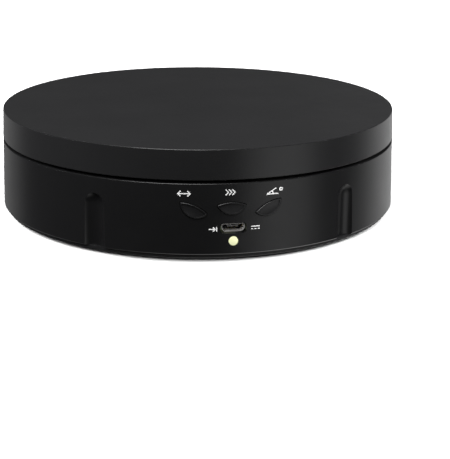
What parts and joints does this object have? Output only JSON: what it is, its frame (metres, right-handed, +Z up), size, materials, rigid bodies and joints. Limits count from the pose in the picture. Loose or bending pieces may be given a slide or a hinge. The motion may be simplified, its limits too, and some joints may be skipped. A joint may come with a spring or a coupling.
{
  "type": "turntable display stand",
  "caption": "Low round motorised display stand with a rotating platter, front push buttons, a small power socket and a lamp.",
  "frame": {"origin": "centre of the stand on the surface it rests on", "axes": "+Z up along the platter's axis; -Y is the side with the buttons, the socket and the lamp; +X is to the right seen from that side"},
  "size_m": [0.146, 0.1463, 0.038],
  "materials": {
    "platter_plastic": "satin black ABS",
    "shell_plastic": "satin black ABS",
    "cover_plastic": "fine textured black ABS",
    "button_plastic": "satin black ABS",
    "print_white": "pad-printed white ink",
    "gear_plastic": "natural acetal",
    "foot_rubber": "matt black rubber",
    "lamp_lens": "lit warm white lens",
    "led_plastic": "white LED package",
    "board_laminate": "green solder mask",
    "motor_cover_plastic": "blue moulded plastic",
    "lead_blue": "PVC insulation",
    "lead_pink": "PVC insulation",
    "lead_yellow": "PVC insulation",
    "lead_orange": "PVC insulation",
    "lead_red": "PVC insulation",
    "connector_plastic": "natural nylon",
    "black_component": "moulded black",
    "tongue_plastic": "grey moulded polymer",
    "gold_contact": "gold plated",
    "bright_steel": "plated steel"
  },
  "bodies": {
    "base": {"base_shell": "shell_plastic", "board_screws": "bright_steel", "bottom_cover": "cover_plastic", "chip_legs": "bright_steel", "control_board": "board_laminate", "controller_chip": "black_component", "cover_screws": "bright_steel", "foot_front": "foot_rubber", "foot_left": "foot_rubber", "foot_rear": "foot_rubber", "foot_right": "foot_rubber", "lead_header": "connector_plastic", "lead_plug": "connector_plastic", "light_pipe": "lamp_lens", "lower_race": "bright_steel", "motor_can": "bright_steel", "motor_face_plate": "bright_steel", "motor_lead_blue": "lead_blue", "motor_lead_orange": "lead_orange", "motor_lead_pink": "lead_pink", "motor_lead_red": "lead_red", "motor_lead_yellow": "lead_yellow", "motor_screws": "bright_steel", "motor_wire_cover": "motor_cover_plastic", "spindle_bush": "gear_plastic", "status_led": "led_plastic", "supply_capacitor": "black_component", "switch_angle": "black_component", "switch_direction": "black_component", "switch_pins": "bright_steel", "switch_speed": "black_component", "usb_contacts": "gold_contact", "usb_shell": "bright_steel", "usb_tongue": "tongue_plastic"},
    "platter": {"platter": "platter_plastic", "ring_gear": "gear_plastic", "ring_gear_screws": "bright_steel", "upper_race": "bright_steel", "spindle": "bright_steel", "retaining_washer": "bright_steel", "retaining_screw": "bright_steel"},
    "cage": {"ball_cage": "gear_plastic", "bearing_balls": "bright_steel"},
    "pinion": {"motor_shaft": "bright_steel", "drive_pinion": "gear_plastic"},
    "button_direction": {"button_direction": "button_plastic", "plunger_direction": "black_component"},
    "button_speed": {"button_speed": "button_plastic", "plunger_speed": "black_component"},
    "button_angle": {"button_angle": "button_plastic", "plunger_angle": "black_component"}
  },
  "joints": [
    {"name": "platter_spin", "type": "hinge", "parent": "base", "child": "platter", "pos_m": [0, 0, 0.03], "axis": [0, 0, 1], "continuous": true},
    {"name": "cage_orbit", "type": "hinge", "parent": "base", "child": "cage", "pos_m": [0, 0, 0.03], "axis": [0, 0, 1], "continuous": true},
    {"name": "pinion_spin", "type": "hinge", "parent": "base", "child": "pinion", "pos_m": [0, 0.04, 0.03], "axis": [0, 0, 1], "continuous": true},
    {"name": "direction_press", "type": "slide", "parent": "base", "child": "button_direction", "axis": [0, 1, 0], "range_m": [0, 0.0003], "stiffness_N_per_m": 5000},
    {"name": "speed_press", "type": "slide", "parent": "base", "child": "button_speed", "axis": [0, 1, 0], "range_m": [0, 0.0003], "stiffness_N_per_m": 5000},
    {"name": "angle_press", "type": "slide", "parent": "base", "child": "button_angle", "axis": [0, 1, 0], "range_m": [0, 0.0003], "stiffness_N_per_m": 5000}
  ],
  "couplings": [
    {"joint": "cage_orbit", "follows": "platter_spin", "ratio": 0.5},
    {"joint": "pinion_spin", "follows": "platter_spin", "ratio": 6}
  ]
}
